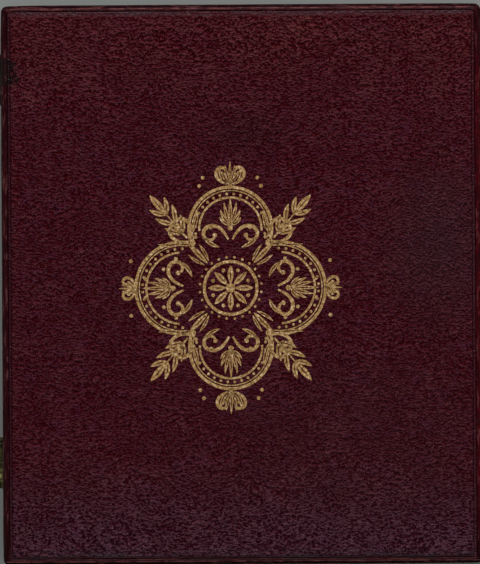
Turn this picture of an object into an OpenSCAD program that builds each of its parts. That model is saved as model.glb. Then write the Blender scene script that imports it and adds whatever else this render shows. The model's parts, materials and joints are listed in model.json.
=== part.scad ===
// Folding case for a sixth-plate picture on metal.
// Two shallow wooden halves, covered in leather, close rim to rim like a book:
// the cover holds a velvet pad and the tray holds the picture behind its glass.
// The shut case lies on its cover with the back of the tray upwards.
// X runs from the hooks to the spine, Y from foot to head and Z upwards.
// The origin is the middle of the cover's outer face.

/* [Picture] */
// Width of the silvered plate
plate_w = 69.9; // [62:0.1:80]
// Height of the silvered plate
plate_h = 83.4; // [74:0.1:95]
// Thickness of the silvered plate
plate_t = 0.5; // [0.3:0.05:0.8]
// Thickness of the gilt mat in front of the plate
mat_t = 0.35; // [0.2:0.05:0.6]
// Width of the oval opening in the mat
mat_open_w = 50; // [40:0.5:56]
// Height of the oval opening in the mat
mat_open_h = 63; // [50:0.5:68]
// Thickness of the glass in front of the mat
glass_t = 1.5; // [1:0.1:2]
// Thickness of the gummed paper that seals plate, mat and glass together
tape_t = 0.12; // [0.08:0.01:0.2]
// How far the gummed paper laps onto the glass and the plate
tape_lap = 2.4; // [1.5:0.1:3]
// Thickness of the preserver, the foil frame around the sealed picture
foil_t = 0.15; // [0.1:0.01:0.25]
// Width of the preserver's face in front of the glass
foil_face = 3.6; // [3:0.1:5]
// Width of the preserver's fold behind the plate
foil_fold = 1.6; // [1:0.1:3]
// Thickness of the card that lifts the picture off the tray's floor
bed_t = 1.4; // [1:0.1:1.8]
// How far the card under the picture stays inside the preserver's edge
bed_inset = 0.6; // [0.3:0.1:2]

/* [Halves] */
// Thickness of each half, from its outer face to where the rims meet
half_t = 8.8; // [8.4:0.1:11]
// Thickness of the wooden boards
board_t = 2; // [1.5:0.1:2.2]
// Width of the wooden rails around each half
rail_w = 3.2; // [2.8:0.1:5]
// Thickness of the paper-covered card that lines each floor
lining_t = 0.35; // [0.2:0.05:0.6]

/* [Leather] */
// Thickness of the leather outside
leather_t = 0.5; // [0.4:0.05:0.7]
// Thickness of the leather pared down for turning in
turn_t = 0.35; // [0.25:0.05:0.5]
// How far the leather is turned down inside the rails
turn_in = 1.8; // [1:0.1:3]
// Width of the smooth edging leather that shows on each face
edging_w = 1.0; // [0.8:0.05:1.6]
// Gap between the edging and the grained panel
seam_gap = 0.15; // [0.1:0.01:0.3]
// Rounding where the edging turns from the sides to the face
edge_r = 0.7; // [0.3:0.05:0.8]
// Rounding of the upright corners
corner_r = 0.5; // [0.2:0.05:0.9]

/* [Velvet] */
// Thickness of the velvet
velvet_t = 0.35; // [0.2:0.05:0.5]
// Thickness of the card strip that the velvet round the picture is glued to
strip_t = 0.7; // [0.4:0.05:1.2]
// How far the velvet strip ends below the rim
strip_drop = 0.15; // [0.1:0.05:0.5]
// Width of the slit where the ends of the strip meet
strip_slit = 0.3; // [0.2:0.05:1]
// Thickness of the card at the back of the pad
pad_card_t = 1; // [0.6:0.1:1.5]
// Thickness of the wadding at the edge of the pad
pad_edge_t = 1.2; // [0.8:0.1:1.6]
// How much the wadding rises to the middle of the pad
pad_crown = 2; // [1:0.1:2.2]

/* [Hinge] */
// Thickness of the leather strip down the outside of the spine
spine_t = 0.5; // [0.3:0.05:0.8]
// How far the spine leather ends short of each outer face
spine_margin = 1.1; // [0.9:0.1:3]
// How far the spine leather ends short of the head and the foot
spine_inset = 0.8; // [0.6:0.1:4]
// Thickness of the silk that lines the fold between the rims
silk_t = 0.15; // [0.1:0.01:0.2]
// How far the silk ends short of the head and the foot
silk_inset = 4; // [3:0.5:10]

/* [Clasps] */
// Distance from the head to the upper clasp's pivot
upper_clasp = 15.1; // [12:0.05:30]
// Distance from the foot to the lower clasp's pivot
lower_clasp = 13.95; // [8:0.05:30]
// Distance from a hook's pivot to its stud when it is fastened
hook_reach = 6; // [5.5:0.1:7]
// Thickness of a hook
hook_t = 0.9; // [0.6:0.05:1.2]
// Width of a hook's metal round the stud
hook_band = 0.75; // [0.6:0.05:1]
// How far a hook's lip reaches past the middle of the stud
hook_lip = 1.3; // [1:0.1:1.8]
// Radius of the eye that a hook turns on
eye_r = 1.35; // [1.2:0.05:1.6]
// Radius of the nail and stud shanks
shank_r = 0.5; // [0.4:0.05:0.7]
// Radius of the nail and stud heads
head_r = 1.25; // [1.1:0.05:1.6]
// Height of the nail and stud heads
head_h = 0.55; // [0.3:0.05:0.8]
// Radius of the washers under the hooks and studs
washer_r = 1.55; // [1.4:0.05:2]
// Thickness of the washers
washer_t = 0.25; // [0.15:0.05:0.4]
// How far nails and studs go into the rails
nail_grip = 2.2; // [1.5:0.1:2.6]

/* [Clearances] */
// Gap between the two rims when the case is shut
rim_gap = 0.12; // [0.06:0.02:0.3]
// Gap between glued pieces that belong to different halves
glue_gap = 0.02; // [0.01:0.01:0.05]
// Gap between the preserver and the gummed paper
foil_fit = 0.05; // [0.02:0.01:0.1]
// Gap between the preserver and the velvet strip
packet_fit = 0.1; // [0.05:0.01:0.3]
// Gap between the strip and the lined rails
strip_fit = 0.05; // [0.02:0.01:0.1]
// Gap between the pad and the lined rails
pad_fit = 0.3; // [0.1:0.05:0.8]
// Gap between the two thicknesses of spine leather when the case lies open
fold_fit = 0.1; // [0.05:0.01:0.3]
// Gap between a nail's shank and its hole
nail_fit = 0.02; // [0.01:0.01:0.03]
// Gap between a hook's eye and the nail that it turns on
pivot_fit = 0.05; // [0.03:0.01:0.1]
// Gap between a fastened hook and its stud
stud_fit = 0.15; // [0.1:0.01:0.25]
// Gap on each side of a hook between the washer and the head
hook_play = 0.06; // [0.03:0.01:0.1]

/* [Hidden] */
$fn = 48;
cut = 1;      // how far a cutting shape runs out past a face
bite = 0.1;   // how far joined cutting shapes run into each other
pad_cells = [18, 20];  // cells of the pad's pillowed top across its width and height
pad_squareness = 4;  // how flat the pad's top stays before it falls away to its edges
oval_sides = 96;  // sides of the mat's oval opening

// The packet is the picture as one sealed thing: plate, mat and glass in their paper and foil.
stack_t = plate_t + mat_t + glass_t;
foil_in_w = plate_w + 2 * (tape_t + foil_fit);
foil_in_h = plate_h + 2 * (tape_t + foil_fit);
packet_w = foil_in_w + 2 * foil_t;
packet_h = foil_in_h + 2 * foil_t;

// Each half is built outwards from the packet: velvet strip, lining, rails, leather.
strip_in_w = packet_w + 2 * packet_fit;
strip_in_h = packet_h + 2 * packet_fit;
strip_card_w = strip_in_w + 2 * velvet_t;
strip_card_h = strip_in_h + 2 * velvet_t;
strip_w = strip_card_w + 2 * strip_t;
strip_h = strip_card_h + 2 * strip_t;
well_w = strip_w + 2 * strip_fit;
well_h = strip_h + 2 * strip_fit;
bare_w = well_w + 2 * turn_t;
bare_h = well_h + 2 * turn_t;
wood_w = bare_w + 2 * rail_w;
wood_h = bare_h + 2 * rail_w;
case_w = wood_w + 2 * leather_t;
case_h = wood_h + 2 * leather_t;
face_w = case_w - 2 * edging_w;
face_h = case_h - 2 * edging_w;

// Heights in one half, counted from its outer face.
rim_z = half_t - rim_gap / 2;
rail_z = leather_t + board_t;
rail_top_z = rim_z - turn_t;
floor_z = rail_z + lining_t;
strip_top_z = rim_z - strip_drop;
packet_z = floor_z + bed_t;
tape_z = packet_z + foil_t;
plate_z = tape_z + tape_t;

pad_w = well_w - 2 * pad_fit;
pad_h = well_h - 2 * pad_fit;
pad_card_w = pad_w - 2 * velvet_t;
pad_card_h = pad_h - 2 * velvet_t;

// A hook's pivot lies as far below the meeting of the rims as its stud lies above it.
pivot_z = half_t - hook_reach / 2;
upper_y = case_h / 2 - upper_clasp;
lower_y = lower_clasp - case_h / 2;
clasp_ys = [lower_y, upper_y];
hook_z = washer_t + hook_play;
head_z = hook_z + hook_t + hook_play;
stud_room = shank_r + stud_fit;
silk_h = case_h - 2 * silk_inset;
silk_edge_x = case_w / 2 - glue_gap;

// The axis of the spine, which the two thicknesses of folded leather lie against.
hinge_x = case_w / 2 + glue_gap + spine_t + fold_fit / 2;
hinge_z = half_t;

wood_colour = [0.72, 0.55, 0.36];
grain_leather_colour = [0.21, 0.07, 0.10];
edging_leather_colour = [0.27, 0.04, 0.06];
velvet_colour = [0.36, 0.07, 0.13];
card_colour = [0.80, 0.75, 0.64];
brass_colour = [0.72, 0.58, 0.30];
gilt_colour = [0.83, 0.66, 0.36];

// A block centred on the origin in plan, from height z0 to z1
module slab(w, h, z0, z1) {
    translate([-w / 2, -h / 2, z0]) cube([w, h, z1 - z0]);
}

// A rectangular ring from height z0 to z1
module ring_slab(w, h, in_w, in_h, z0, z1) {
    difference() {
        slab(w, h, z0, z1);
        slab(in_w, in_h, z0 - cut, z1 + cut);
    }
}

// Puts a piece of one half where the tray is: upside down on top of the cover
module on_tray() {
    translate([0, 0, 2 * half_t]) mirror([0, 0, 1]) children();
}

// Turns a piece that stands on Z so that it stands out of the side with the hooks
module on_fore_side(y, z) {
    translate([-case_w / 2, y, z]) rotate([0, -90, 0]) children();
}

// A rectangle with four round corners
module rounded_plan(w, h, r) {
    square([w - 2 * r, h], center = true);
    square([w, h - 2 * r], center = true);
    for (x = [-1, 1], y = [-1, 1]) translate([x * (w / 2 - r), y * (h / 2 - r)]) circle(r);
}

// A standing rectangle with its two lower corners round
module rounded_foot(w, h, r) {
    translate([-w / 2, r]) square([w, h - r]);
    translate([r - w / 2, 0]) square([w - 2 * r, h]);
    for (x = [-1, 1]) translate([x * (w / 2 - r), r]) circle(r);
}

// The outside of one half: sharp at the rim, round where the sides meet the face
module half_block() {
    intersection() {
        linear_extrude(rim_z) rounded_plan(case_w, case_h, corner_r);
        rotate([90, 0, 0]) linear_extrude(case_h, center = true) rounded_foot(case_w, rim_z, edge_r);
        rotate([90, 0, 90]) linear_extrude(case_w, center = true) rounded_foot(case_h, rim_z, edge_r);
    }
}

// The holes for the clasp nails, from outside the leather to their depth in the rail
module nail_holes() {
    for (y = clasp_ys)
        translate([-case_w / 2 - cut, y, pivot_z]) rotate([0, 90, 0])
            cylinder(r = shank_r + nail_fit, h = cut + leather_t + nail_grip);
}

module board() {
    color(wood_colour) slab(wood_w, wood_h, leather_t, rail_z);
}

// A mitred rail whose outer edge lies along X at y = 0 and whose body lies below it
module mitred_rail(outer, inner) {
    translate([0, 0, rail_z]) linear_extrude(rail_top_z - rail_z)
        polygon([[-outer / 2, 0], [outer / 2, 0], [inner / 2, -rail_w], [-inner / 2, -rail_w]]);
}

module head_rail() {
    color(wood_colour) translate([0, wood_h / 2, 0]) mitred_rail(wood_w, bare_w);
}

module foot_rail() {
    color(wood_colour) mirror([0, 1, 0]) translate([0, wood_h / 2, 0]) mitred_rail(wood_w, bare_w);
}

module spine_rail() {
    color(wood_colour) translate([wood_w / 2, 0, 0]) rotate(-90) mitred_rail(wood_h, bare_h);
}

module fore_rail() {
    color(wood_colour) difference() {
        translate([-wood_w / 2, 0, 0]) rotate(90) mitred_rail(wood_h, bare_h);
        nail_holes();
    }
}

// The smooth leather round the sides: lapped onto the face, over the rim and down inside
module side_leather() {
    color(edging_leather_colour) difference() {
        half_block();
        slab(wood_w, wood_h, leather_t, rim_z - turn_in);
        ring_slab(wood_w, wood_h, bare_w, bare_h, rim_z - turn_in - bite, rail_top_z);
        slab(well_w, well_h, rim_z - turn_in - bite, rim_z + cut);
        slab(face_w, face_h, -cut, leather_t + bite);
        // the silk lies in the rim on the spine side
        translate([well_w / 2 - bite, -silk_h / 2 - glue_gap, rim_z - silk_t])
            cube([case_w, silk_h + 2 * glue_gap, silk_t + cut]);
        nail_holes();
    }
}

// The grained panel on the outer face
module face_leather() {
    color(grain_leather_colour) linear_extrude(leather_t)
        rounded_plan(face_w - 2 * seam_gap, face_h - 2 * seam_gap, seam_gap);
}

// Paper-covered card on the floor and up the rails as far as the turned-in leather
module lining() {
    color(card_colour) difference() {
        slab(bare_w, bare_h, rail_z, rim_z - turn_in);
        slab(well_w, well_h, floor_z, rim_z);
    }
}

function grid_place(i, n, size) = -size / 2 * cos(180 * i / n);
function fall(t) = 1 - pow(t, pad_squareness);
function pillow_rise(u, v) = sqrt(max(0, fall(u) * fall(v)));

// A block with straight sides up to edge_t and a pillowed top above them
module pillow(w, h, edge_t, crown) {
    nx = pad_cells[0];
    ny = pad_cells[1];
    top = [for (j = [0:ny], i = [0:nx])
        let (x = grid_place(i, nx, w), y = grid_place(j, ny, h))
        [x, y, edge_t + crown * pillow_rise(2 * x / w, 2 * y / h)]];
    rim = concat(
        [for (i = [0:nx]) i],
        [for (j = [1:ny]) nx + j * (nx + 1)],
        [for (i = [nx - 1:-1:0]) i + ny * (nx + 1)],
        [for (j = [ny - 1:-1:1]) j * (nx + 1)]);
    n = len(rim);
    base = len(top);
    foot = [for (k = rim) [top[k][0], top[k][1], 0]];
    top_faces = [for (j = [0:ny - 1], i = [0:nx - 1])
        let (a = i + j * (nx + 1), b = a + nx + 1)
        each [[a, b, b + 1], [a, b + 1, a + 1]]];
    side_faces = [for (k = [0:n - 1])
        let (m = (k + 1) % n)
        each [[base + k, rim[k], rim[m]], [base + k, rim[m], base + m]]];
    foot_faces = [for (k = [0:n - 1]) [base + n, base + k, base + (k + 1) % n]];
    polyhedron(concat(top, foot, [[0, 0, 0]]), concat(top_faces, side_faces, foot_faces));
}

module pad_card() {
    color(card_colour) slab(pad_card_w, pad_card_h, floor_z, floor_z + pad_card_t);
}

module pad_wadding() {
    color([0.88, 0.86, 0.80]) translate([0, 0, floor_z + pad_card_t])
        pillow(pad_card_w, pad_card_h, pad_edge_t, pad_crown);
}

module pad_velvet() {
    color(velvet_colour) translate([0, 0, floor_z]) difference() {
        pillow(pad_w, pad_h, pad_card_t + pad_edge_t + velvet_t, pad_crown);
        pillow(pad_card_w, pad_card_h, pad_card_t + pad_edge_t, pad_crown);
        slab(pad_card_w, pad_card_h, -cut, bite);
    }
}

// The slit at the middle of the foot, where the ends of the strip meet
module strip_gap() {
    translate([-strip_slit / 2, -strip_h / 2 - cut, floor_z - cut])
        cube([strip_slit, (strip_h - strip_in_h) / 2 + 2 * cut, half_t]);
}

module strip_card() {
    color(card_colour) difference() {
        ring_slab(strip_w, strip_h, strip_card_w, strip_card_h, floor_z, strip_top_z - velvet_t);
        strip_gap();
    }
}

// Velvet on the strip's inner face and over its top edge
module strip_velvet() {
    color(velvet_colour) difference() {
        ring_slab(strip_w, strip_h, strip_in_w, strip_in_h, floor_z, strip_top_z);
        ring_slab(strip_w + cut, strip_h + cut, strip_card_w, strip_card_h,
                  floor_z - cut, strip_top_z - velvet_t);
        strip_gap();
    }
}

module bed_card() {
    color(card_colour) slab(packet_w - 2 * bed_inset, packet_h - 2 * bed_inset, floor_z, packet_z);
}

// A sheet wrapped round the edge of a flat block, lapped onto its back and its front
module wrap(in_w, in_h, in_t, sheet_t, back_lap, front_lap) {
    difference() {
        slab(in_w + 2 * sheet_t, in_h + 2 * sheet_t, 0, in_t + 2 * sheet_t);
        slab(in_w, in_h, sheet_t, sheet_t + in_t);
        slab(in_w - 2 * back_lap, in_h - 2 * back_lap, -cut, sheet_t + bite);
        slab(in_w - 2 * front_lap, in_h - 2 * front_lap, sheet_t + in_t - bite, in_t + cut);
    }
}

module preserver() {
    color(gilt_colour) translate([0, 0, packet_z])
        wrap(foil_in_w, foil_in_h, stack_t + 2 * tape_t, foil_t, foil_fold, foil_face);
}

module sealing_tape() {
    color(card_colour) translate([0, 0, tape_z])
        wrap(plate_w, plate_h, stack_t, tape_t, tape_lap, tape_lap);
}

module picture_plate() {
    color([0.70, 0.71, 0.72]) slab(plate_w, plate_h, plate_z, plate_z + plate_t);
}

module mat() {
    color(gilt_colour) translate([0, 0, plate_z + plate_t]) difference() {
        slab(plate_w, plate_h, 0, mat_t);
        translate([0, 0, -cut]) linear_extrude(mat_t + 2 * cut) polygon([
            for (k = [0:oval_sides - 1])
                [mat_open_w / 2 * cos(360 * k / oval_sides), mat_open_h / 2 * sin(360 * k / oval_sides)]
        ]);
    }
}

module cover_glass() {
    color([0.85, 0.92, 0.90, 0.35]) translate([0, 0, plate_z + plate_t + mat_t])
        slab(plate_w, plate_h, 0, glass_t);
}

// The leather down the outside of the spine, which folds when the case opens
module spine_leather() {
    color(edging_leather_colour)
        translate([case_w / 2 + glue_gap, spine_inset - case_h / 2, spine_margin])
            cube([spine_t, case_h - 2 * spine_inset, 2 * (half_t - spine_margin)]);
}

// The silk between the rims at the spine: one layer on each rim, joined along the outer edge
module hinge_silk() {
    layers_t = rim_gap + 2 * silk_t;
    color(velvet_colour) difference() {
        translate([well_w / 2, -silk_h / 2, half_t - layers_t / 2])
            cube([silk_edge_x - well_w / 2, silk_h, layers_t]);
        translate([well_w / 2 - cut, -silk_h / 2 - cut, half_t - rim_gap / 2])
            cube([silk_edge_x - silk_t - well_w / 2 + cut, silk_h + 2 * cut, rim_gap]);
    }
}

// The band of a circle of radius r about the origin, hook_band wide outside it
module band(r) {
    difference() {
        circle(r + hook_band);
        circle(r);
    }
}

// A hook's outline with its pivot at the origin, its arm along Y and its mouth towards X
module hook_outline() {
    end_r = hook_reach + stud_room;
    difference() {
        union() {
            circle(eye_r);
            polygon([
                [-eye_r, 0], [0, eye_r], [-stud_room, hook_reach], [-stud_room - hook_band, hook_reach]
            ]);
            // the crook round the far side of the stud
            intersection() {
                translate([0, hook_reach]) band(stud_room);
                translate([-2 * hook_reach, hook_reach - bite]) square([2 * hook_reach, hook_reach]);
            }
            // the lip, which follows the arc that the stud comes in along
            intersection() {
                band(end_r);
                translate([-bite, hook_reach]) square([hook_lip + bite, hook_reach]);
            }
            rotate(-asin(hook_lip / (end_r + hook_band / 2)))
                translate([0, end_r + hook_band / 2]) circle(hook_band / 2);
        }
        circle(shank_r + pivot_fit);
    }
}

module hook(y) {
    color(brass_colour) on_fore_side(y, pivot_z)
        translate([0, 0, hook_z]) linear_extrude(hook_t) hook_outline();
}

// A round-headed nail or stud, standing out far enough for a hook under its head
module clasp_nail(y, z) {
    dome_r = (head_r * head_r + head_h * head_h) / (2 * head_h);
    color(brass_colour) on_fore_side(y, z) {
        translate([0, 0, -leather_t - nail_grip]) cylinder(r = shank_r, h = leather_t + nail_grip + head_z + bite);
        intersection() {
            translate([0, 0, head_z + head_h - dome_r]) sphere(dome_r);
            translate([0, 0, head_z]) cylinder(r = 2 * head_r, h = 2 * head_h);
        }
    }
}

module clasp_washer(y, z) {
    color(brass_colour) on_fore_side(y, z) difference() {
        cylinder(r = washer_r, h = washer_t);
        translate([0, 0, -cut]) cylinder(r = shank_r + nail_fit, h = washer_t + 2 * cut);
    }
}

stud_z = 2 * half_t - pivot_z;

board();  // cover_board
head_rail();  // cover_head_rail
foot_rail();  // cover_foot_rail
fore_rail();  // cover_fore_rail
spine_rail();  // cover_spine_rail
side_leather();  // cover_side_leather
face_leather();  // cover_face_leather
lining();  // cover_lining
pad_card();
pad_wadding();
pad_velvet();
on_tray() board();  // tray_board
on_tray() head_rail();  // tray_head_rail
on_tray() foot_rail();  // tray_foot_rail
on_tray() fore_rail();  // tray_fore_rail
on_tray() spine_rail();  // tray_spine_rail
on_tray() side_leather();  // tray_side_leather
on_tray() face_leather();  // tray_face_leather
on_tray() lining();  // tray_lining
on_tray() strip_card();
on_tray() strip_velvet();
on_tray() bed_card();
on_tray() preserver();
on_tray() sealing_tape();
on_tray() picture_plate();
on_tray() mat();
on_tray() cover_glass();
spine_leather();
hinge_silk();
hook(upper_y);  // upper_hook
clasp_nail(upper_y, pivot_z);  // upper_hook_nail
clasp_washer(upper_y, pivot_z);  // upper_hook_washer
clasp_nail(upper_y, stud_z);  // upper_stud
clasp_washer(upper_y, stud_z);  // upper_stud_washer
hook(lower_y);  // lower_hook
clasp_nail(lower_y, pivot_z);  // lower_hook_nail
clasp_washer(lower_y, pivot_z);  // lower_hook_washer
clasp_nail(lower_y, stud_z);  // lower_stud
clasp_washer(lower_y, stud_z);  // lower_stud_washer
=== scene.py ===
import json
import math

import bmesh
import bpy
from mathutils import Matrix, Vector, noise


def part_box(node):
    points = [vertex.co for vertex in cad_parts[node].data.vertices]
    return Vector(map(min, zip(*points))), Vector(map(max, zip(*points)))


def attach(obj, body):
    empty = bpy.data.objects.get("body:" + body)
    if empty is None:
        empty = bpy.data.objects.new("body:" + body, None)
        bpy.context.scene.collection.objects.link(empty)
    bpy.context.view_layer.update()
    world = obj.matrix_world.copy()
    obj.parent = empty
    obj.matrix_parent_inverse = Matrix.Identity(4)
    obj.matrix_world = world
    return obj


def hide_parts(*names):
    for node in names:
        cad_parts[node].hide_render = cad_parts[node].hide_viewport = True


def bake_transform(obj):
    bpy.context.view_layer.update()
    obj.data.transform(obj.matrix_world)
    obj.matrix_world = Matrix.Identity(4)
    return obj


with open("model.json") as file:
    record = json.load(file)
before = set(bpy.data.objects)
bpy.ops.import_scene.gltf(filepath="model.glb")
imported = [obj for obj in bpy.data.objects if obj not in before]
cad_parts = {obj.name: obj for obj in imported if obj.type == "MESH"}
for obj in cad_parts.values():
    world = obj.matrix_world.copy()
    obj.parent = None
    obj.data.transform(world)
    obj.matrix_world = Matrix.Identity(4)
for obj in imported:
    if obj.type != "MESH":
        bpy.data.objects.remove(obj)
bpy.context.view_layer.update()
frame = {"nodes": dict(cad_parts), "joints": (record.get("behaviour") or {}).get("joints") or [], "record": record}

mm = 0.001
nodes = frame["nodes"]
hinge = next(j for j in frame["joints"] if j["name"] == "case_hinge")
hingeX, hingeZ = hinge["pos_m"][0], hinge["pos_m"][2]  # the rims meet at the hinge's height
print("frame loaded,", len(nodes), "parts")


# Materials

def srgb(red, green, blue):  # a colour from 0 to 255 as it looks on a screen
    parts = [v / 255 for v in (red, green, blue)]
    return tuple(((p + 0.055) / 1.055) ** 2.4 if p > 0.04 else p / 12.92 for p in parts) + (1.0,)


class Wire:  # a node's output, on which arithmetic adds Math nodes
    def __init__(self, paint, socket):
        self.paint, self.socket = paint, socket

    def maths(self, operation, *values):
        return self.paint.add("Math", {"operation": operation}, [self, *values])

    def __add__(self, other):
        return self.maths("ADD", other)

    def __sub__(self, other):
        return self.maths("SUBTRACT", other)

    def __rsub__(self, other):
        return self.paint.add("Math", {"operation": "SUBTRACT"}, [other, self])

    def __mul__(self, other):
        return self.maths("MULTIPLY", other)

    __radd__ = __add__
    __rmul__ = __mul__


class Paint:  # one material and its nodes
    def __init__(self, name, **values):
        self.material = bpy.data.materials.new(name)
        self.material.use_nodes = True
        self.tree = self.material.node_tree
        self.shader = self.tree.nodes["Principled BSDF"]
        for socket, value in values.items():
            self.shader.inputs[socket.replace("_", " ")].default_value = value

    def plug(self, socket, value):
        if isinstance(value, Wire):
            self.tree.links.new(value.socket, socket)
        else:
            socket.default_value = value

    def add(self, kind, settings=None, sockets=(), out=0):
        node = self.tree.nodes.new("ShaderNode" + kind)
        for key, value in (settings or {}).items():
            if key == "stops":
                ramp = node.color_ramp.elements
                while len(ramp) < len(value):
                    ramp.new(0.5)
                for stop, (position, colour) in zip(ramp, value):
                    stop.position, stop.color = position, colour
            else:
                setattr(node, key, value)
        pairs = sockets.items() if isinstance(sockets, dict) else enumerate(sockets)
        for key, value in pairs:
            self.plug(node.inputs[key], value)
        return Wire(self, node.outputs[out])

    def spot(self, scale=1 / mm):  # where the surface is on the piece, in millimetres
        place = self.add("TexCoord", out="Object")
        return self.add("VectorMath", {"operation": "SCALE"}, {0: place, "Scale": scale})

    def axes(self, spot):
        return [self.add("SeparateXYZ", sockets=[spot], out=name) for name in "XYZ"]

    def stretch(self, spot, scale, turn=0.0):
        return self.add("Mapping", sockets={0: spot, "Scale": scale, "Rotation": (0, 0, turn)})

    def noise(self, spot, scale, detail=2.0, roughness=0.5, out="Fac"):
        return self.add("TexNoise", sockets={
            "Vector": spot, "Scale": scale, "Detail": detail, "Roughness": roughness}, out=out)

    def cells(self, spot, scale, feature="F1"):
        return self.add("TexVoronoi", {"feature": feature}, {"Vector": spot, "Scale": scale}, "Distance")

    def fade(self, value, low, high):  # 0 below low, 1 above high and smooth between
        return self.add("MapRange", {"interpolation_type": "SMOOTHSTEP"}, [value, low, high])

    def between(self, value, low, high, softness):  # 1 from low to high
        return self.fade(value, low - softness, low) * (1 - self.fade(value, high, high + softness))

    def reach(self, spot, wide, high):  # 0 in the middle, 1 on an oval of that half width and half height
        shaped = self.stretch(spot, (1 / wide, 1 / high, 0))
        return self.add("VectorMath", {"operation": "LENGTH"}, [shaped], "Value")

    def blend(self, first, second, factor):
        return self.add("Mix", {"data_type": "RGBA"}, {0: factor, 6: first, 7: second}, 2)

    def layers(self, colour, look, masks):  # lays tones of the look over a colour, each where its mask is 1
        for tone, mask in masks:
            colour = self.blend(colour, look[tone], mask)
        return colour

    def bump(self, height, depth):
        return self.add("Bump", sockets={"Height": height, "Distance": depth})

    def finish(self, **inputs):
        for socket, value in inputs.items():
            self.plug(self.shader.inputs[socket.replace("_", " ")], value)
        return self.material


stainForm = {  # marks on the back, in millimetres: ink at the edge beside the upper hook, and faint clouds
    "spots": (((-40.2, 36.7), 2.6, 1.9), ((-38.7, 34.7), 1.5, 1.0), ((-40.4, 34.9), 1.6, 1.5)),
    "ragged": 2.2,
    "run": 0.40,       # how soon it thins out down the side
    "strength": 0.92,
    "clouds": (((33.5, 6.5), 9.0, 13.0, "bloom", 0.42), ((20.0, -26.0), 26.0, 12.0, "bloom", 0.14),
               ((1.4, 25.2), 7.0, 3.4, "handled", 0.34)),  # middle, half width and height, tone, strength
}


def away(paint, spot, centre, wide, high):  # 1 at wide or high from the centre
    placed = paint.add("VectorMath", {"operation": "SUBTRACT"}, [spot, centre + (0,)])
    return paint.reach(placed, wide, high)


def inkStain(paint, spot, form, faceZ):
    ragged = paint.noise(spot, 1.5, 5.0, 0.8) * form["ragged"] - 0.10
    down = (paint.axes(spot)[2] - faceZ) * -form["run"]
    stain = 0.0
    for centre, wide, high in form["spots"]:
        mark = 1 - paint.fade(away(paint, spot, centre, wide, high) * ragged + down, 0.78, 0.98)
        stain = mark.maths("MAXIMUM", stain)
    thin = paint.fade(paint.noise(spot, 1.9, 3.0, 0.8), 0.38, 0.56)
    return stain * (thin * 0.75 + 0.25) * form["strength"]


moroccoLook = {
    "red": srgb(62, 1, 14),
    "rubbed": srgb(76, 31, 38),   # painted sheen, greyer, on the tops of the grain; also the leather where the gold is worn off
    "bluer": srgb(72, 27, 42),    # the painted sheen bluer in places
    # painted shade in the crevices of the grain
    "crevice": srgb(53, 0, 5),
    "warm": srgb(90, 40, 42),     # browned near the head
    "purple": srgb(56, 11, 27),   # near the foot
    "plum": srgb(44, 1, 18),      # painted shade in the crevices there
    "dry": srgb(96, 64, 79),      # dusty, paler painted sheen on the tops there
    "bloom": srgb(56, 36, 44),
    "border": srgb(52, 20, 26),   # pressed smooth along the edging
    "scuffed": srgb(62, 52, 58),
    "handled": srgb(34, 8, 20),   # dirt along the side that opens
    "stain": srgb(22, 16, 18),
    "grainX": 2.2,                # wrinkles across and up, in about so many per 2 mm
    "grainY": 3.1,
    "grainTilt": -0.10,
    "grainDepth": 1.40 * mm,
    "headReach": 24.0,            # how far from head and foot their tones reach, in millimetres
    "footReach": 20.0,
}


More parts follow.
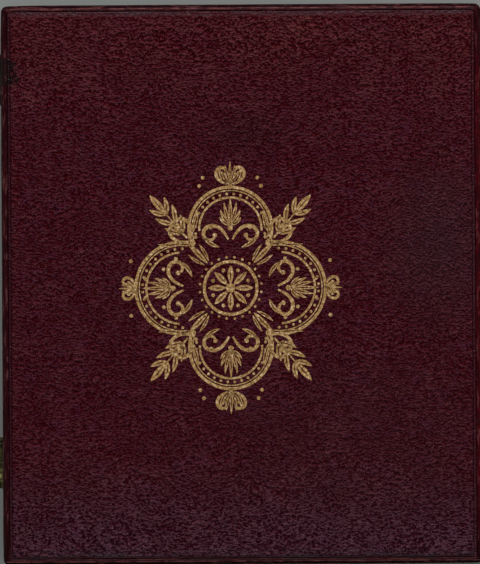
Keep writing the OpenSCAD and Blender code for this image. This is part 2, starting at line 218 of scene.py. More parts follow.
def makeMorocco(name, look, halfW, halfH, faceZ, stain):  # halfW and halfH to the edges of the panel
    paint = Paint(name, Specular_IOR_Level=0.05)
    spot = paint.spot()
    x, y = paint.axes(spot)[:2]
    # drawn-out pebbles with creases between them
    wavy = spot
    for scale, shift in ((0.10, (3.0, 4.0, 0)), (0.8, (0.55, 0.25, 0))):
        drift = paint.noise(wavy, scale, 1.0, out="Color")
        wavy = paint.add("VectorMath", {"operation": "MULTIPLY_ADD"}, [drift, shift, wavy])
    drawn = paint.stretch(wavy, (look["grainX"], look["grainY"], 1.0), look["grainTilt"])
    pebbles = 1 - paint.fade(paint.cells(drawn, 0.75, "SMOOTH_F1"), 0.0, 0.75)
    grain = paint.noise(drawn, 1.0, 0.0) + pebbles * 0.10 + paint.noise(drawn, 2.0, 0.0) * 0.30
    # the grain is pressed flat where the panel meets the edging
    broken = paint.noise(spot, 0.8, 3.0) * 0.35
    headBand = paint.fade(y + broken, halfH - 0.75, halfH - 0.50)
    sideBand = paint.fade(x.maths("ABSOLUTE") + broken, halfW - 0.42, halfW - 0.20)
    footBand = paint.fade(-1 * y + broken, halfH - 0.20, halfH - 0.05)
    flat = headBand.maths("MAXIMUM", sideBand).maths("MAXIMUM", footBand)
    patches = paint.noise(spot, 0.16, 3.0, 0.6)
    warm = paint.fade(paint.noise(spot, 0.11, 2.0), 0.36, 0.60)
    cool = paint.fade(paint.noise(spot, 0.13, 2.0), 0.30, 0.60)
    bluer = paint.fade(paint.noise(spot, 0.35, 2.0), 0.42, 0.60)
    specks = paint.fade(paint.noise(drawn, 2.2, 3.0, 0.7), 0.46, 0.66)
    nearHead = paint.fade(y, halfH - look["headReach"], halfH - 1.0)
    nearFoot = 1 - paint.fade(y, 0.5 - halfH, look["footReach"] - halfH)
    # painted sheen on the tops of the grain: greyer, bluer in places, warmer near the head and dustier near the
    # foot
    high = paint.layers(look["rubbed"], look, (
        ("bluer", bluer), ("warm", nearHead * (warm * 0.4 + 0.6)), ("dry", nearFoot * (specks * 0.6 + 0.4))))
    low = paint.blend(look["red"], look["purple"], nearFoot * (cool * 0.4 + 0.6))
    # painted shade for the crevices, plum-coloured near the foot
    deep = paint.blend(look["crevice"], look["plum"], nearFoot)
    sheenOnTops = paint.fade(grain, 0.57, 0.80) * 0.78 + paint.fade(patches, 0.40, 0.62) * 0.16
    colour = paint.blend(low, high, sheenOnTops)
    # the crevices take the painted shade, except on the flat border
    colour = paint.blend(deep, colour, paint.fade(grain, 0.44, 0.66) * (1 - flat) + flat)
    streaks = paint.fade(paint.noise(paint.stretch(spot, (0.22, 2.8, 1.0)), 1.0, 3.0, 0.7), 0.46, 0.60)
    footScuff = paint.fade(-1 * y + broken * 2, halfH - 1.5, halfH + 0.2)
    dirty = paint.fade(-1 * x + broken * 3, halfW - 0.4, halfW + 1.0)
    colour = paint.layers(colour, look, (
        ("border", flat * 0.75), ("scuffed", streaks * headBand * 0.45),
        ("scuffed", footScuff * (streaks * 0.65 + 0.10)), ("handled", dirty * 0.7)))
    if stain:
        for centre, wide, tall, tone, strength in stain["clouds"]:
            far = away(paint, spot, centre, wide, tall) + broken * 2
            colour = paint.blend(colour, look[tone], (1 - paint.fade(far, 0.4, 1.9)) * strength)
        colour = paint.blend(colour, look["stain"], inkStain(paint, spot, stain, faceZ))
    coarser = nearHead * 0.2 + nearFoot * 0.35 + 1
    normal = paint.bump(grain * coarser * (1 - flat * 0.85), look["grainDepth"])
    return paint.finish(Base_Color=colour, Roughness=patches * 0.08 + 0.28, Normal=normal)


edgingLook = {
    "red": srgb(72, 0, 10),      # at the spine
    "fore": srgb(44, 3, 10),
    "ends": srgb(50, 5, 11),
    "shade": srgb(16, 0, 3),     # painted shade along the outermost rounding, also laid towards the corners of the sides
    "rubbed": srgb(104, 60, 60),
    "grime": srgb(28, 5, 9),     # in streaks, and along the panel
    "dust": srgb(44, 30, 32),    # the same at head and foot, greyer: partly dust, partly painted sheen
    "crease": srgb(13, 1, 3),
    "stain": srgb(22, 16, 18),
    "tuckIn": 1.7,               # of the tucked fold from the side's surface, in millimetres
    "relief": 0.05 * mm,
}


def makeEdging(name, look, halfW, halfH, outerZ, rimZ, side, stain):  # side is 1 where the face looks up
    paint = Paint(name, Specular_IOR_Level=0.05, Coat_Roughness=0.38)
    spot = paint.spot()
    x, y, z = paint.axes(spot)
    across, along = x.maths("ABSOLUTE"), y.maths("ABSOLUTE")
    depth = (z - outerZ) * -side
    fromSide, fromEnd = halfW - across, halfH - along
    inset = fromSide.maths("MINIMUM", fromEnd)
    atEnd = paint.fade(fromSide - fromEnd, -0.25, 0.25)
    foreSide = 1 - paint.fade(x, -1.0, 1.0)
    foot = 1 - paint.fade(y, -1.0, 1.0)
    nearFace = 1 - paint.fade(depth, 0.9, 1.8)
    patches = paint.noise(spot, 0.35, 4.0, 0.65)
    corner = paint.fade(along, halfH - 14.0, halfH - 1.0)
    colour = paint.layers(look["red"], look, (
        ("fore", foreSide * 0.9 + paint.fade(patches, 0.45, 0.65) * 0.1),
        ("ends", atEnd.maths("MAXIMUM", corner * 0.7))))
    # streaks of grime that run along each side
    upStreaks = paint.noise(paint.stretch(spot, (3.4, 0.35, 1.0)), 1.0, 3.0, 0.7)
    acrossStreaks = paint.noise(paint.stretch(spot, (0.35, 3.4, 1.0)), 1.0, 3.0, 0.7)
    handling = upStreaks * (1 - atEnd) + acrossStreaks * atEnd
    mottled = paint.fade(paint.noise(spot, 1.7, 3.0, 0.75), 0.44, 0.58) * (0.7 - atEnd * 0.4)
    grimed = paint.fade(handling, 0.50, 0.58).maths("MAXIMUM", mottled)
    seam = paint.between(inset, 0.84, 1.20, 0.16) * paint.fade(paint.noise(spot, 1.2, 4.0, 0.75), 0.36, 0.54)
    grimed = grimed.maths("MAXIMUM", seam * (0.75 - atEnd * 0.35))
    # dark grime on the sides; at head and foot greyer, partly dust and partly painted sheen
    colour = paint.blend(colour, paint.blend(look["grime"], look["dust"], atEnd), grimed * nearFace * 0.8)
    # painted shade on the outermost rounding at head and foot, a little on the fore side
    edge = paint.between(depth, 0.12, 1.4, 0.08) * (atEnd * 0.9 + foreSide * 0.1)
    scratched = 1 - paint.fade(handling, 0.38, 0.45)
    # darker towards the corners along the sides
    nearCorner = paint.fade(along, halfH - 12.0, halfH - 1.0) * (1 - atEnd)
    # worn and lighter along the rounded edges of the face, partly a painted highlight there, and scuffed on the
    # sides
    worn = paint.between(inset + foot * 0.07, 0.63, 0.74, 0.10) * (1 - paint.fade(depth, 0.3, 0.5)) * atEnd
    chips = paint.fade(paint.noise(paint.stretch(spot, (0.5, 1.0, 1.0)), 0.9, 5.0, 0.75), 0.44, 0.60)
    scuffs = paint.fade(paint.noise(paint.stretch(spot, (0.5, 0.5, 1.5)), 1.3, 5.0, 0.75), 0.60, 0.70)
    # the joins where the leather is folded over at the corners
    skew = across - along + (halfH - halfW)
    onRim = paint.fade((z - rimZ) * -side, -0.35, -0.25)
    mitre = (1 - paint.fade(skew.maths("ABSOLUTE"), 0.03, 0.16)) * onRim
    tuck = fromSide - look["tuckIn"]
    tucked = (1 - paint.fade(tuck.maths("ABSOLUTE"), 0.03, 0.14)) * (1 - paint.fade(fromEnd, 0.1, 0.3))
    creased = mitre.maths("MAXIMUM", tucked)
    colour = paint.layers(colour, look, (
        # painted shade on the outermost rounding
        ("shade", edge * (0.5 + patches * 0.9)),
        ("rubbed", scratched * nearFace * (0.48 - atEnd * 0.08)),
        ("shade", nearCorner * 0.55),
        # wear and painted highlight along the rounded edges of the face
        ("rubbed", worn * (chips * (foot * 0.3 + 0.85) + foot * 0.15)),
        ("rubbed", scuffs * paint.fade(depth, 0.8, 2.0) * 0.35),
        ("crease", creased * 0.8)))
    if stain:
        colour = paint.blend(colour, look["stain"], inkStain(paint, spot, stain, outerZ))
    fine = paint.noise(paint.stretch(spot, (1.0, 1.0, 1.6)), 2.2, 5.0, 0.65)
    streaks = paint.noise(paint.stretch(spot, (0.35, 0.35, 2.0)), 1.0, 4.0, 0.6)
    normal = paint.bump(fine * 0.6 + streaks * 0.5 + (1 - creased) * 1.0, look["relief"])
    handled = paint.fade(depth, 0.9, 1.8) * (0.10 + patches * 0.35)
    rough = patches * 0.16 + edge * 0.6 + 0.36
    return paint.finish(Base_Color=colour, Roughness=rough, Coat_Weight=handled, Normal=normal)


def makeFoldingLeather(name, look):  # for the spine, on its own flat map
    paint = Paint(name, Specular_IOR_Level=0.15)
    spot = paint.add("UVMap")
    patches = paint.noise(spot, 0.35, 4.0, 0.65)
    lengthwise = paint.noise(paint.stretch(spot, (0.10, 2.4, 1.0)), 1.0, 4.0, 0.6)
    colour = paint.blend(look["red"], look["fore"], paint.fade(patches, 0.42, 0.66) * 0.6)
    nearFold = 1 - paint.fade(paint.axes(spot)[1].maths("ABSOLUTE"), 0.3, 2.2)
    cracks = 1 - paint.fade(lengthwise, 0.30, 0.46)
    colour = paint.layers(colour, look, (
        ("rubbed", nearFold * paint.fade(lengthwise, 0.52, 0.68) * 0.6), ("crease", cracks * nearFold * 0.7)))
    fine = paint.noise(spot, 2.4, 5.0, 0.65)
    normal = paint.bump(fine * 0.5 + lengthwise * (nearFold + 0.3), 0.07 * mm)
    return paint.finish(Base_Color=colour, Roughness=0.42 + patches * 0.18, Normal=normal)


def makeGilding(name, leather):
    paint = Paint(name, Specular_IOR_Level=0.5)
    spot = paint.spot()
    tone = paint.noise(spot, 2.0, 4.0, 0.7)
    gold = paint.add("ValToRGB", {"stops": [
        (0.34, srgb(112, 76, 38)), (0.46, srgb(170, 129, 74)), (0.56, srgb(196, 158, 104)),
        (0.66, srgb(240, 212, 168))]}, [tone], "Color")
    worn = paint.fade(paint.noise(spot, 2.2, 5.0, 0.8), 0.60, 0.70)
    colour = paint.blend(gold, leather["rubbed"], worn * 0.85)
    normal = paint.bump(paint.noise(spot, 3.2, 3.0, 0.7), 0.10 * mm)
    metal = (1 - worn) * 0.45
    return paint.finish(Base_Color=colour, Metallic=metal, Roughness=0.36 + tone * 0.2, Normal=normal)


def makePressed(name, leather):  # where the tools have pressed the leather smooth and dark, with painted shade round the gold for its sunken edge
    paint = Paint(name, Specular_IOR_Level=0.10)
    tone = paint.noise(paint.spot(), 1.2, 3.0, 0.6)
    colour = paint.blend(leather["crevice"], leather["red"], tone * 0.5)
    return paint.finish(Base_Color=colour, Roughness=0.3 + tone * 0.2)


def makeBrass(name, bright, dull, tarnish, roughness, cover):  # cover is the share that is tarnished
    paint = Paint(name)
    spot = paint.spot()
    cloud = paint.noise(spot, 0.9, 5.0, 0.65)
    speck = paint.noise(spot, 4.5, 4.0, 0.7)
    colour = paint.blend(bright, dull, paint.fade(cloud, 0.36, 0.64))
    dirt = paint.fade(speck * 0.6 + cloud * 0.4, 1 - cover, 1.12 - cover)
    colour = paint.blend(colour, tarnish, dirt)
    normal = paint.bump(speck, 0.015 * mm)
    rough = roughness + dirt * 0.25
    return paint.finish(Base_Color=colour, Metallic=1 - dirt * 0.35, Roughness=rough, Normal=normal)


def makeVelvet(name, deep, light, crushed, pressed=False):
    paint = Paint(name, Sheen_Weight=0.35, Sheen_Roughness=0.4, Sheen_Tint=light, Specular_IOR_Level=0.1)
    spot = paint.spot()
    nap = paint.noise(spot, 6.0, 3.0, 0.7)
    brushed = paint.noise(paint.stretch(spot, (0.07, 0.16, 0.1), 0.5), 1.0, 3.0, 0.55)
    colour = paint.blend(deep, light, paint.fade(brushed, 0.36, 0.70) * 0.35 + nap * 0.18)
    if pressed:  # the pile lies flat and dark where the design is pressed in
        design = paint.add("Attribute", {"attribute_name": "pressed"}, out="Fac")
        colour = paint.blend(colour, crushed, design * 0.85)
    return paint.finish(Base_Color=colour, Roughness=nap * 0.1 + 0.85, Normal=paint.bump(nap, 0.08 * mm))


def makeSilk(name, deep, light):  # fine ribs across the fold
    paint = Paint(name, Sheen_Weight=0.3, Specular_IOR_Level=0.4)
    spot = paint.add("UVMap")
    wave = {"Vector": spot, "Scale": 0.62, "Distortion": 0.4}
    ribs = paint.add("TexWave", {"bands_direction": "Y"}, wave, "Fac")
    tone = paint.noise(spot, 0.5, 3.0)
    colour = paint.blend(deep, light, ribs * 0.4 + tone * 0.3)
    return paint.finish(Base_Color=colour, Roughness=0.5 + tone * 0.2, Normal=paint.bump(ribs, 0.05 * mm))


def makePaper(name, plain, mottled, grain):
    paint = Paint(name, Specular_IOR_Level=0.2)
    spot = paint.spot()
    tone = paint.noise(spot, 0.25, 5.0, 0.65)
    fibres = paint.noise(paint.stretch(spot, (1.0, 0.35, 0.35)), grain, 4.0, 0.7)
    colour = paint.blend(plain, mottled, paint.fade(tone, 0.35, 0.68) * 0.7 + fibres * 0.25)
    return paint.finish(Base_Color=colour, Roughness=0.8 + tone * 0.1, Normal=paint.bump(fibres, 0.03 * mm))


def makeWood(name):
    paint = Paint(name, Specular_IOR_Level=0.3)
    spot = paint.stretch(paint.spot(), (0.9, 0.06, 0.9))
    rings = paint.noise(spot, 1.6, 4.0, 0.6)
    pores = paint.noise(spot, 7.0, 2.0, 0.5)
    dark = paint.fade(rings, 0.35, 0.68) * 0.7 + pores * 0.2
    colour = paint.blend(srgb(206, 172, 124), srgb(164, 122, 78), dark)
    return paint.finish(Base_Color=colour, Roughness=0.6 + pores * 0.15, Normal=paint.bump(pores, 0.04 * mm))


def makeGlass(name):  # thin and flat, so it only mirrors a little and dims what lies behind it
    paint = Paint(name, Metallic=1.0)
    spot = paint.spot()
    dust = paint.fade(paint.noise(spot, 0.5, 6.0, 0.75), 0.52, 0.80)
    colour = paint.blend(srgb(246, 251, 249), srgb(150, 146, 130), dust)
    return paint.finish(Base_Color=colour, Roughness=0.02 + dust * 0.5, Alpha=0.045 + dust * 0.05)


def makeSilver(name, openW, openH):  # bare silvered plate, tarnished in rings that follow the mat's opening
    paint = Paint(name)
    spot = paint.spot()
    cloud = paint.noise(spot, 0.10, 4.0, 0.55)
    edge = paint.reach(spot, openW / 2, openH / 2) + (cloud - 0.5) * 0.20
    tarnish = paint.add("ValToRGB", {"stops": [
        (0.0, srgb(214, 214, 212)), (0.66, srgb(208, 206, 200)), (0.80, srgb(196, 176, 134)),
        (0.88, srgb(150, 108, 84)), (0.935, srgb(88, 84, 112)), (0.97, srgb(92, 122, 142)),
        (1.0, srgb(74, 62, 56))]}, [edge * 0.97], "Color")
    specks = paint.fade(paint.noise(spot, 1.1, 5.0, 0.8), 0.66, 0.72)
    colour = paint.blend(tarnish, srgb(120, 104, 84), specks * 0.6)
    rough = paint.fade(edge, 0.6, 1.0) * 0.15 + 0.20 + specks * 0.3
    return paint.finish(Base_Color=colour, Metallic=1 - specks * 0.4, Roughness=rough)


def makePebbled(name, openW, openH, band):  # gilt sheet, stippled outside a burnished band round the opening
    paint = Paint(name)
    spot = paint.spot()
    ground = paint.fade(paint.reach(spot, openW / 2, openH / 2), band, band + 0.01)
    stipple = paint.fade(paint.cells(spot, 2.4), 0.1, 0.6)
    cloud = paint.noise(spot, 0.3, 5.0, 0.65)
    colour = paint.blend(srgb(214, 172, 96), srgb(172, 128, 62), paint.fade(cloud, 0.4, 0.7))
    rough = 0.22 + ground * 0.22 + cloud * 0.1
    normal = paint.bump(stipple * ground, 0.05 * mm)
    return paint.finish(Base_Color=colour, Metallic=1.0, Roughness=rough, Normal=normal)


print("materials ready to make")


# Shapes that more than one piece is made of

def vertsOf(geom):
    return [g for g in geom if isinstance(g, bmesh.types.BMVert)]


def edgesOf(geom):
    return [g for g in geom if isinstance(g, bmesh.types.BMEdge)]


def growRing(bm, ring):  # extrudes the open edge, and gives the new vertices and the new open edge
    made = bmesh.ops.extrude_edge_only(bm, edges=ring)["geom"]
    return vertsOf(made), [e for e in edgesOf(made) if len(e.link_faces) == 1]


def placeRing(bm, verts, size, last, inset, z):  # moves a ring in and up, where size is that at no inset
    lastIn, lastZ = last
    share = [(s - 2 * inset) / (s - 2 * lastIn) for s in size]
    bmesh.ops.scale(bm, verts=verts, vec=(*share, 1))
    bmesh.ops.translate(bm, verts=verts, vec=(0, 0, z - lastZ))


def sweepRing(bm, ring, size, points, last=(0.0, 0.0)):  # extrudes the open edge through (inset, z) points
    for inset, z in points:
        verts, ring = growRing(bm, ring)
        placeRing(bm, verts, size, last, inset, z)
        last = (inset, z)
    return ring


def roundedOutline(bm, width, height, radius, gap):  # a loop of edges, its straight sides cut every gap or so
    bmesh.ops.create_grid(bm, x_segments=1, y_segments=1, size=0.5)
    bmesh.ops.scale(bm, verts=bm.verts, vec=(width, height, 1))
    bmesh.ops.bevel(bm, geom=bm.verts[:], offset=radius, offset_type="OFFSET", affect="VERTICES", segments=6,
                    profile=0.5, material=-1)
    bmesh.ops.delete(bm, geom=bm.faces[:], context="FACES_ONLY")
    for length in sorted({round(e.calc_length(), 7) for e in bm.edges if e.calc_length() > 4 * radius}):
        sides = [e for e in bm.edges if abs(e.calc_length() - length) < 0.001 * mm]
        bmesh.ops.subdivide_edges(bm, edges=sides, cuts=round(length / gap) - 1)
    return bm.edges[:]


def ringLoft(width, height, radius, gap, profile):
    # a closed band round a rounded rectangle: profile lists (inset, z) all round its section
    bm = bmesh.new()
    size = (width, height)
    first = roundedOutline(bm, width, height, radius, gap)
    placeRing(bm, bm.verts, size, (0.0, 0.0), *profile[0])
    ring = sweepRing(bm, first, size, profile[1:], profile[0])
    first = [e for e in first if len(e.link_faces) == 1]
    bmesh.ops.bridge_loops(bm, edges=first + ring)
    bmesh.ops.recalc_face_normals(bm, faces=bm.faces)
    return bm


def arc(centreIn, centreZ, radius, start, end, steps, radiusZ=None):  # points of a rounding, in degrees
    turns = [math.radians(start + (end - start) * k / steps) for k in range(steps + 1)]
    return [(centreIn + radius * math.cos(a), centreZ + (radiusZ or radius) * math.sin(a)) for a in turns]


def line(start, end, steps):  # points from start to end, both left out
    return [(start[0] + (end[0] - start[0]) * k / steps, start[1] + (end[1] - start[1]) * k / steps)
            for k in range(1, steps)]


def turnOver(bm, aboutZ):  # the tray is the cover's shape upside down
    bmesh.ops.scale(bm, verts=bm.verts, vec=(1, 1, -1))
    bmesh.ops.translate(bm, verts=bm.verts, vec=(0, 0, 2 * aboutZ))
    bmesh.ops.recalc_face_normals(bm, faces=bm.faces)


def wobble(bm, amount, size):  # hand-made unevenness along the normals
    bm.normal_update()
    for v in bm.verts:
        v.co += v.normal * (noise.noise(v.co / size) + 0.25) * amount


def addPart(bm, part):  # joins part to bm
    mesh = bpy.data.meshes.new("part")
    part.to_mesh(mesh)
    part.free()
    bm.from_mesh(mesh)
    bpy.data.meshes.remove(mesh)


def addObject(name, data):
    made = bpy.data.objects.new(name, data)
    bpy.context.scene.collection.objects.link(made)
    return made


def makePiece(name, bm, material, body, replaced=(), smoothAngle=40.0):
    mesh = bpy.data.meshes.new(name)
    bm.to_mesh(mesh)
    bm.free()
    mesh.shade_smooth()
    mesh.set_sharp_from_angle(angle=math.radians(smoothAngle))
    mesh.materials.append(material)
    piece = addObject(name, mesh)
    if body:
        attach(piece, body)
    if replaced:
        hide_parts(*replaced)
    return piece


def softened(name, node, width, material, body, segments=2, sharp=30.0):
    # a CAD part's own shape with its edges rounded off
    bm = bmesh.new()
    bm.from_mesh(nodes[node].data)
    bmesh.ops.remove_doubles(bm, verts=bm.verts, dist=0.001 * mm)
    bmesh.ops.dissolve_limit(bm, angle_limit=math.radians(0.5), verts=bm.verts, edges=bm.edges)
    hard = [e for e in bm.edges if len(e.link_faces) == 2 and e.calc_face_angle(0) > math.radians(sharp)]
    bmesh.ops.bevel(bm, geom=hard, offset=width, offset_type="OFFSET", affect="EDGES", segments=segments,
                    profile=0.5, material=-1, clamp_overlap=True)
    bmesh.ops.recalc_face_normals(bm, faces=bm.faces)
    return makePiece(name, bm, material, body, [node])


# The leather of the two halves

leatherForm = {
    "cornerR": 0.95 * mm,
    "edgeR": 0.90 * mm,      # rounding between the sides and the face
    "edgeDeep": 1.35 * mm,
    "rimR": 0.25 * mm,       # rounding at the rim
    "innerR": 0.30 * mm,
    "lapR": 0.10 * mm,       # rounding of the edging's lapped edge
    "turnT": 0.35 * mm,      # thickness where it is turned in
    "turnIn": 1.80 * mm,
    "underLap": 0.14 * mm,   # pared thin where it runs under the panel's edge
    "pared": 0.10 * mm,
    "gap": 1.2 * mm,
    "cornerWear": 0.16 * mm,  # how far the corners are knocked in, at the head on the hooks' side
    "cornerReach": 7.0 * mm,
    "spineShare": 0.6,        # and how much of that at the spine and at the foot
    "footShare": 0.55,
    "unevenness": 0.05 * mm,
    "unevenSize": 9.0 * mm,
}
sideLow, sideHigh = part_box("cover_side_leather")
boardLow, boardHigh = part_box("cover_board")
faceLow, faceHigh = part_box("cover_face_leather")
silkLow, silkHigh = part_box("hinge_silk")
caseW, caseH = sideHigh.x - sideLow.x, sideHigh.y - sideLow.y
leatherT = boardLow.z - sideLow.z
rimZ = sideHigh.z
rimWidth = sideHigh.x - silkLow.x
panelW, panelH = faceHigh.x - faceLow.x, faceHigh.y - faceLow.y
seamIn = (caseW - panelW) / 2
lapIn = seamIn - 0.11 * mm


def knockCorners(bm, form):  # handling wears the corners back
    reach = form["cornerReach"]
    for v in bm.verts:
        fromX = max(0.0, 1 - (caseW / 2 - abs(v.co.x)) / reach)
        fromY = max(0.0, 1 - (caseH / 2 - abs(v.co.y)) / reach)
        share = (1.0 if v.co.x < 0 else form["spineShare"]) * (1.0 if v.co.y > 0 else form["footShare"])
        pull = form["cornerWear"] * share * fromX ** 2 * fromY ** 2
        v.co.x -= math.copysign(pull * 0.7, v.co.x)
        v.co.y -= math.copysign(pull, v.co.y)


def makeSides(name, material, body, form):
    edgeR, edgeDeep, rimR = form["edgeR"], form["edgeDeep"], form["rimR"]
    innerR, lapR, turnT = form["innerR"], form["lapR"], form["turnT"]
    inner, wall, thin = rimWidth, leatherT, leatherT - form["pared"]
    turnZ, under = rimZ - form["turnIn"], lapIn + form["underLap"]
    profile = arc(lapIn - lapR, lapR, lapR, 0, -90, 3)
    profile += arc(edgeR, edgeDeep, edgeR, 270, 180, 9, edgeDeep)
    profile += line((0, edgeDeep), (0, rimZ - rimR), 9)
    profile += arc(rimR, rimZ - rimR, rimR, 180, 90, 4)
    profile += line((rimR, rimZ), (inner - innerR, rimZ), 6)
    profile += arc(inner - innerR, rimZ - innerR, innerR, 90, 0, 4)
    profile += line((inner, rimZ - innerR), (inner, turnZ), 3)
    profile += [(inner, turnZ), (inner - turnT, turnZ), (inner - turnT, rimZ - turnT), (wall, rimZ - turnT)]
    profile += [(wall, wall), (under, wall), (under, thin), (lapIn, thin)]
    bm = ringLoft(caseW, caseH, form["cornerR"], form["gap"], profile)
    wobble(bm, form["unevenness"], form["unevenSize"])
    for v in bm.verts:  # nothing stands proud of the measured case
        v.co.z = min(max(v.co.z, 0.0), rimZ)
        v.co.x = min(max(v.co.x, -caseW / 2), caseW / 2)
        v.co.y = min(max(v.co.y, -caseH / 2), caseH / 2)
    knockCorners(bm, form)
    if body == "tray":
        turnOver(bm, hingeZ)
    return makePiece(name, bm, material, body, [body + "_side_leather"])


panelForm = {
    "edgeR": 0.24 * mm,
    "gap": 0.55 * mm,
    "dipSmall": 0.020 * mm, "sizeSmall": 3.5 * mm,
    "dipLarge": 0.060 * mm, "sizeLarge": 16.0 * mm,
}


def panelDip(x, y, form, salt):  # how far the panel lies below its highest point
    small = 0.5 + 0.5 * noise.noise(Vector((x, y, salt)) / form["sizeSmall"])
    large = 0.5 + 0.5 * noise.noise(Vector((x, y, salt + 0.5)) / form["sizeLarge"])
    return form["dipSmall"] * small + form["dipLarge"] * large


def makePanel(name, material, body, form, salt):
    bm = bmesh.new()
    edgeR = form["edgeR"]
    size = (panelW - 2 * edgeR, panelH - 2 * edgeR)
    across, along = (round(s / form["gap"]) for s in size)
    bmesh.ops.create_grid(bm, x_segments=across, y_segments=along, size=0.5)
    bmesh.ops.scale(bm, verts=bm.verts, vec=(*size, 1))
    ring = [e for e in bm.edges if e.is_boundary]
    ring = sweepRing(bm, ring, size, arc(0, edgeR, edgeR, 270, 180, 5)[1:] + [(-edgeR, leatherT)])
    bmesh.ops.contextual_create(bm, geom=ring)
    for v in bm.verts:
        if v.co.z < leatherT * 0.9:
            v.co.z += panelDip(v.co.x, v.co.y, form, salt)
    bmesh.ops.recalc_face_normals(bm, faces=bm.faces)
    if body == "tray":
        turnOver(bm, hingeZ)
    return makePiece(name, bm, material, body, [body + "_face_leather"])


sheetW, sheetH = panelW / 2 / mm, panelH / 2 / mm
halfW, halfH = caseW / 2 / mm, caseH / 2 / mm
frontZ, coverRimZ = sideLow.z / mm, rimZ / mm
backZ, trayRimZ = 2 * hingeZ / mm - frontZ, 2 * hingeZ / mm - coverRimZ
trayMorocco = makeMorocco("grained morocco, back", moroccoLook, sheetW, sheetH, backZ, stainForm)
coverMorocco = makeMorocco("grained morocco, front", moroccoLook, sheetW, sheetH, frontZ, None)
trayEdging = makeEdging("smooth edging, tray", edgingLook, halfW, halfH, backZ, trayRimZ, 1, stainForm)
coverEdging = makeEdging("smooth edging, cover", edgingLook, halfW, halfH, frontZ, coverRimZ, -1, None)
traySides = makeSides("traySides", trayEdging, "tray", leatherForm)
coverSides = makeSides("coverSides", coverEdging, "cover", leatherForm)
backSalt, frontSalt = 0.031, 0.087
backPanel = makePanel("backPanel", trayMorocco, "tray", panelForm, backSalt)
frontPanel = makePanel("frontPanel", coverMorocco, "cover", panelForm, frontSalt)
print("leather sides and panels made")


# The spine strip and the silk at the hinge

foldForm = {
    "zone": 0.60 * mm,    # half the height over which the spine leather turns
    "nearStep": 0.12 * mm,
    "nearReach": 1.4 * mm,
    "farStep": 0.9 * mm,
    "alongStep": 2.5 * mm,
    "roundness": 0.16 * mm,
    "unevenness": 0.03 * mm,
    "unevenSize": 5.0 * mm,
    "silkGap": 0.12 * mm,  # between the two layers of the silk
}


def mapFlat(bm, place):  # gives a piece its own map, laid flat, in millimetres
    layer = bm.loops.layers.uv.new("flat")
    for face in bm.faces:
        for loop in face.loops:
            loop[layer].uv = [c / mm for c in place(loop.vert.co)]


def cutAcross(bm, axis, places):  # so that the piece can bend there
    for place in places:
        point, normal = Vector(), Vector()
        point[axis], normal[axis] = place, 1
        everything = bm.verts[:] + bm.edges[:] + bm.faces[:]
        bmesh.ops.bisect_plane(bm, geom=everything, plane_co=point, plane_no=normal)


def makeSpine(form):
    low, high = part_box("spine_leather")
    bm = bmesh.new()
    bmesh.ops.create_cube(bm, size=1.0)
    bmesh.ops.scale(bm, verts=bm.verts, vec=high - low)
    bmesh.ops.translate(bm, verts=bm.verts, vec=(low + high) / 2)
    outer = [e for e in bm.edges if all(v.co.x > high.x - 0.01 * mm for v in e.verts)]
    bmesh.ops.bevel(bm, geom=outer, offset=form["roundness"], offset_type="OFFSET", affect="EDGES",
                    segments=3, profile=0.5, material=-1)
    nearCount = round(form["nearReach"] / form["nearStep"])
    heights = [hingeZ + k * form["nearStep"] for k in range(-nearCount, nearCount + 1)]
    farCount = int((high.z - hingeZ - form["nearReach"]) / form["farStep"])
    for k in range(1, farCount + 1):
        reach = form["nearReach"] + k * form["farStep"]
        heights += [hingeZ - reach, hingeZ + reach]
    cutAcross(bm, 2, heights)
    alongCount = int((high.y - low.y) / form["alongStep"])
    cutAcross(bm, 1, [low.y + k * form["alongStep"] for k in range(1, alongCount)])
    for v in bm.verts:
        if v.co.x > low.x + 0.05 * mm:
            v.co.x -= form["unevenness"] * (0.5 + 0.5 * noise.noise(v.co / form["unevenSize"]))
    mapFlat(bm, lambda co: (co.y, co.z - hingeZ))
    bmesh.ops.recalc_face_normals(bm, faces=bm.faces)
    material = makeFoldingLeather("spine leather", edgingLook)
    piece = makePiece("spineStrip", bm, material, None, ["spine_leather"])
    zone = form["zone"]
    hingeZ - zone
    hingeZ + zone
    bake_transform(piece)
    return piece


def makeHingeSilk(form):
    low, high = silkLow, silkHigh
    thick = (high.z - low.z - form["silkGap"]) / 2
    lowZ, highZ = low.z + thick / 2, high.z - thick / 2
    bendR = (highZ - lowZ) / 2
    flatX = high.x - thick / 2 - bendR
    path = [(low.x, lowZ)] + line((low.x, lowZ), (flatX, lowZ), 5)
    path += arc(flatX, (lowZ + highZ) / 2, bendR, -90, 90, 10)
    path += line((flatX, highZ), (low.x, highZ), 5) + [(low.x, highZ)]
    bm = bmesh.new()
    ends = [bm.verts.new((path[0][0], y, path[0][1])) for y in (low.y, high.y)]
    edge = bm.edges.new(ends)
    for (x0, z0), (x1, z1) in zip(path, path[1:]):
        verts, sides = growRing(bm, [edge])
        edge = next(e for e in sides if set(e.verts) == set(verts))
        bmesh.ops.translate(bm, verts=verts, vec=(x1 - x0, 0, z1 - z0))
    mapFlat(bm, lambda co: (co.x + co.z - lowZ, co.y))
    bmesh.ops.solidify(bm, geom=bm.faces[:], thickness=thick)
    bmesh.ops.recalc_face_normals(bm, faces=bm.faces)
    material = makeSilk("hinge silk", srgb(66, 8, 22), srgb(104, 24, 42))
    piece = makePiece("hingeSilkFold", bm, material, None, ["hinge_silk"])
    lift = 0.1 * bendR
    lowZ + lift
    highZ - lift
    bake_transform(piece)
    return piece


spineStrip = makeSpine(foldForm)
hingeSilkFold = makeHingeSilk(foldForm)
print("spine and silk made")


# Gilt tooling in the middle of the back

